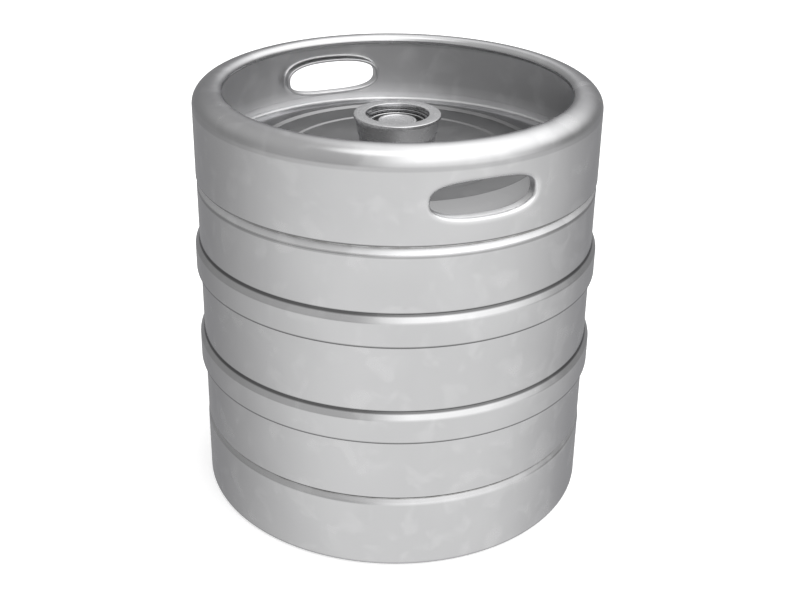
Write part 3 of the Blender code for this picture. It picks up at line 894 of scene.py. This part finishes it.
def build_valve_body():
    top = CLIP_LOW - 0.4
    profile = rounded(
        [
            (HOUSING_RADIUS, top, 0.4),
            (HOUSING_RADIUS, NECK_SHOULDER + 2.4, 0.2),
            (HOUSING_WAIST, NECK_SHOULDER + 2.4, 0.2),
            (HOUSING_WAIST, NECK_BOTTOM + 1.0, 0.2),
            (HOUSING_WAIST_BORE, NECK_BOTTOM + 1.0, 0.2),
            (HOUSING_WAIST_BORE, NECK_TOP - 29.5, 0.2),
            (HOUSING_BORE, NECK_TOP - 28.5, 0.2),
            (HOUSING_BORE, SEAL_TOP + 0.3, 0.2),
            (HOUSING_LIP, SEAL_TOP + 0.3, 0.3),
            (HOUSING_LIP, top, 0.6),
        ]
    )
    return lathe("valve_housing", profile, NECK_SIDES)


def build_snap_ring():
    low = CLIP_LOW + 0.4
    high = CLIP_HIGH - 0.4
    profile = rounded([(31.0, high, 0.4), (31.0, low, 0.4), (27.2, low, 0.5), (27.2, high, 0.5)])
    # the split is where the CAD ring has it, 45 degrees round from +Y
    start = 135.0 + CLIP_SPLIT / 2
    return lathe("snap_ring", profile, NECK_SIDES, start=start, sweep=360.0 - CLIP_SPLIT)


def build_turned_pieces():
    """The small round pieces, as node: (name, profile)."""
    tube_r = radius_of("down_tube")
    shelf = foot_of("spring_seat_washer")
    guide_low = foot_of("tube_guide")
    seal_low = foot_of("gas_seal")
    poppet_low = foot_of("poppet_seal")
    neck_low = foot_of("neck_seal")
    neck_high = top_of("neck_seal")
    profiles = {
        "gas_seal": ("seal_ring", [
            (27.2, SEAL_TOP, 0.8), (27.2, seal_low, 0.6), (18.2, seal_low, 0.5), (18.2, SEAL_TOP, 1.2),
        ]),
        "poppet_seal": ("poppet_ring", [
            (19.6, CUP_TOP, 0.4), (19.6, poppet_low, 0.4), (16.9, poppet_low, 0.4), (16.9, CUP_TOP, 0.4),
        ]),
        "neck_seal": ("housing_gasket", [
            (HOUSING_RADIUS, neck_high, 0.5),
            (HOUSING_RADIUS, neck_low, 0.5),
            (28.3, neck_low, 0.3),
            (28.3, neck_high, 0.3),
        ]),
        "spear_cup": ("seal_cup", [
            (27.2, CUP_TOP, 0.4),
            (27.2, CUP_TOP - 3.7, 0.5),
            (22.1, CUP_TOP - 3.7, 0.8),
            (22.1, CUP_FLOOR - 1.0, 3.0),
            (tube_r + 2.4, CUP_FLOOR - 7.0, 1.0),
            (tube_r + 2.4, CUP_FLOOR - 15.0, 0.4),
            (tube_r + 0.4, CUP_FLOOR - 15.0, 0.3),
            (tube_r + 0.4, CUP_FLOOR - 3.0, 0.0),
            (TUBE_BORE + 0.2, CUP_FLOOR - 3.0, 0.0),
            (TUBE_BORE + 0.2, CUP_FLOOR, 0.3),
            (20.6, CUP_FLOOR, 1.5),
            (20.6, CUP_TOP, 0.3),
        ]),
        "down_tube": ("dip_tube", [
            (tube_r, top_of("down_tube"), 0.3),
            (tube_r, foot_of("down_tube"), 0.5),
            (TUBE_BORE, foot_of("down_tube"), 0.5),
            (TUBE_BORE, top_of("down_tube"), 0.3),
        ]),
        "tube_guide": ("tube_bush", [
            (18.5, shelf + 2.0, 0.5),
            (18.5, shelf, 0.3),
            (16.0, shelf, 0.2),
            (16.0, guide_low, 0.5),
            (tube_r + 0.5, guide_low, 0.4),
            (tube_r + 0.5, shelf + 2.0, 0.4),
        ]),
        "spring_seat_washer": ("spring_washer", [
            (26.0, shelf + 1.0, 0.3), (26.0, shelf, 0.3), (22.2, shelf, 0.3), (22.2, shelf + 1.0, 0.3),
        ]),
    }
    made = {}
    for node, (name, corners) in profiles.items():
        made[node] = lathe(name, rounded(corners), NECK_SIDES)
    return made


def build_centre_valve():
    """The disc in the middle of the neck, with its turned rim, and the flange and stem below it."""
    flange_top = CUP_TOP - 2.3
    stem_low = foot_of("beer_valve")
    profile = rounded(
        [
            (0.0, VALVE_TOP - 0.35, 0.0),
            (14.6, VALVE_TOP - 0.35, 0.3),
            (15.0, VALVE_TOP, 0.4),
            (17.8, VALVE_TOP, 0.7),
            (17.8, CUP_TOP + 0.2, 0.3),
            (16.5, CUP_TOP + 0.2, 0.2),
            (16.5, flange_top, 0.3),
            (19.6, flange_top, 0.4),
            (19.6, CUP_TOP - 4.5, 0.6),
            (6.0, CUP_TOP - 4.5, 1.0),
            (6.0, stem_low, 0.6),
            (0.0, stem_low, 0.0),
        ],
        closed=False,
    )
    return lathe("centre_valve_disc", profile, NECK_SIDES, closed=False)


# ---- put the pieces together ---------------------------------------------------------------------
satin = satin_steel("satin_stainless", (0.56, 0.56, 0.565), (0.66, 0.66, 0.665), 0.20, 0.30)
tube_steel = satin_steel(
    "tube_stainless", (0.50, 0.50, 0.51), (0.62, 0.62, 0.63), 0.22, 0.34, on_keg=False
)
machined = turned_steel("machined_stainless", (0.62, 0.62, 0.625), (0.80, 0.80, 0.805), 0.24)
weld = weld_steel("pickled_weld")
wire = wire_steel("spring_wire")
black = rubber("black_rubber")
white = plastic("guide_plastic")


def place(obj, node, material, slot):
    """obj stands for a CAD node, rides on that node's body and takes a finish."""
    obj.data.materials.clear()
    obj.data.materials.append(material)
    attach(obj, frame["nodes"][node]["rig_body"])
    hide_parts(node)
    return obj


place(build_upper_shell(), "upper_shell", satin, "satin_steel")
place(build_lower_shell(), "lower_shell", satin, "satin_steel")
place(build_top_chime(), "top_chime", satin, "satin_steel")
place(build_foot_chime(), "bottom_chime", satin, "satin_steel")
for weld_node, bead in build_welds().items():
    place(bead, weld_node, satin if weld_node == "girth_weld" else weld, "weld_steel")
place(build_neck(), "keg_neck", machined, "machined_steel")
place(build_valve_body(), "valve_body", machined, "machined_steel")
place(build_snap_ring(), "retaining_circlip", wire, "spring_steel")
place(build_centre_valve(), "beer_valve", machined, "machined_steel")

finishes = {
    "gas_seal": (black, "black_rubber"),
    "poppet_seal": (black, "black_rubber"),
    "neck_seal": (black, "black_rubber"),
    "spear_cup": (machined, "machined_steel"),
    "down_tube": (tube_steel, "satin_steel"),
    "tube_guide": (white, "guide_plastic"),
    "spring_seat_washer": (machined, "machined_steel"),
}
for piece_node, piece in build_turned_pieces().items():
    place(piece, piece_node, *finishes[piece_node])


def place_spring(name, node, size):
    """A finer coil in the CAD spring's place, riding on that spring's body."""
    radius, wire_size, turns = size
    low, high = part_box(node)
    spring = coil(name, radius, wire_size, low.z / MM, high.z / MM, turns)
    place(spring, node, wire, "spring_steel")
    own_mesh(spring)


place_spring("gas_coil", "gas_spring", GAS_COIL)
place_spring("beer_coil", "beer_spring", BEER_COIL)

# the basket keeps its CAD solid, which is sealed inside the keg
basket = frame["nodes"]["spring_basket"]
basket.data.materials.clear()
basket.data.materials.append(tube_steel)


# ---- floor, light and camera ---------------------------------------------------------------------
CAMERA_AZIMUTH = -23.3
azimuth = radians(CAMERA_AZIMUTH)
to_camera = Vector((sin(azimuth), -cos(azimuth), 0.0))
to_right = Vector((cos(azimuth), sin(azimuth), 0.0))


def make_floor():
    """A pale floor that shows no reflection in the steel and is clear from below."""
    mesh = bpy.data.meshes.new("floor")
    size = 14.0
    corners = [(-size, -size, 0), (size, -size, 0), (size, size, 0), (-size, size, 0)]
    mesh.from_pydata(corners, [], [(0, 1, 2, 3)])
    floor = bpy.data.objects.new("floor", mesh)
    bpy.context.scene.collection.objects.link(floor)
    material = bpy.data.materials.new("pale_floor")
    material.use_nodes = True
    tree = material.node_tree
    shader = tree.nodes["Principled BSDF"]
    shader.inputs["Base Color"].default_value = (0.9, 0.9, 0.9, 1.0)
    shader.inputs["Roughness"].default_value = 0.9
    shader.inputs["Specular IOR Level"].default_value = 0.1
    shader.inputs["Emission Color"].default_value = (1.0, 1.0, 1.0, 1.0)
    shader.inputs["Emission Strength"].default_value = 0.4
    clear = tree.nodes.new("ShaderNodeBsdfTransparent")
    pick = tree.nodes.new("ShaderNodeMixShader")
    side = tree.nodes.new("ShaderNodeNewGeometry")
    tree.links.new(side.outputs["Backfacing"], pick.inputs[0])
    tree.links.new(shader.outputs[0], pick.inputs[1])
    tree.links.new(clear.outputs[0], pick.inputs[2])
    tree.links.new(pick.outputs[0], tree.nodes["Material Output"].inputs["Surface"])
    floor.data.materials.append(material)
    floor.visible_glossy = False


def make_world():
    """A soft studio surround, brighter overhead and to the right, dimmer at the left and behind."""
    world = bpy.data.worlds.new("studio")
    bpy.context.scene.world = world
    world.use_nodes = True
    tree = world.node_tree
    background = tree.nodes["Background"]
    direction = tree.nodes.new("ShaderNodeTexCoord").outputs["Generated"]

    def along(vector):
        node = tree.nodes.new("ShaderNodeVectorMath")
        node.operation = "DOT_PRODUCT"
        node.inputs[1].default_value = vector
        tree.links.new(direction, node.inputs[0])
        return node.outputs["Value"]

    def ease(value, low, high, out_low, out_high):
        return map_range(tree, value, low, high, out_low, out_high)

    # what upright walls reflect is the lower half, what the tops of the rings and rims reflect the upper
    front = along(to_camera)
    right = along(to_right)
    height = along((0.0, 0.0, 1.0))
    ahead = along(to_camera * cos(radians(12)) + to_right * sin(radians(12)))
    below = ease(ahead, -0.85, 0.9, 0.42, 1.08)
    near_low = ease(right, -0.40, 0.05, 0.57, 1.25)
    low = ease(front, -0.30, 0.70, 0.33, near_low)
    high = ease(right, -0.30, 0.16, 0.62, 1.95)
    overhead = ease(height, 0.92, 1.0, high, 2.0)
    lower_half = ease(height, -0.36, -0.04, below, low)
    level = ease(height, 0.10, 0.92, lower_half, overhead)
    # straight from the camera the background is plain white
    seen = tree.nodes.new("ShaderNodeLightPath").outputs["Is Camera Ray"]
    level = ease(seen, 0.0, 1.0, level, 1.0)
    tree.links.new(level, background.inputs["Strength"])
    background.inputs["Color"].default_value = (1.0, 1.0, 1.0, 1.0)


def make_camera():
    """The camera stands 1.1 m from the keg's axis and 0.73 m up, and looks down 25 degrees."""
    distance = 1.10133
    height = 0.73211
    pitch = radians(24.92)
    roll = 0.0143
    data = bpy.data.cameras.new("photo_view")
    data.sensor_width = 36.0
    data.lens = 56.18
    data.shift_x = 0.0058
    data.shift_y = -0.05
    camera = bpy.data.objects.new("photo_view", data)
    bpy.context.scene.collection.objects.link(camera)
    forward = -to_camera * cos(pitch) - Vector((0.0, 0.0, sin(pitch)))
    up = to_right.cross(forward)
    right = to_right * cos(roll) + up * sin(roll)
    top = up * cos(roll) - to_right * sin(roll)
    turn = Matrix((right, top, -forward)).transposed()
    place_at = to_camera * distance + Vector((0.0, 0.0, height))
    camera.matrix_world = Matrix.Translation(place_at) @ turn.to_4x4()
    bpy.context.scene.camera = camera


make_floor()
make_world()
make_camera()
bpy.context.scene.view_settings.view_transform = "Standard"
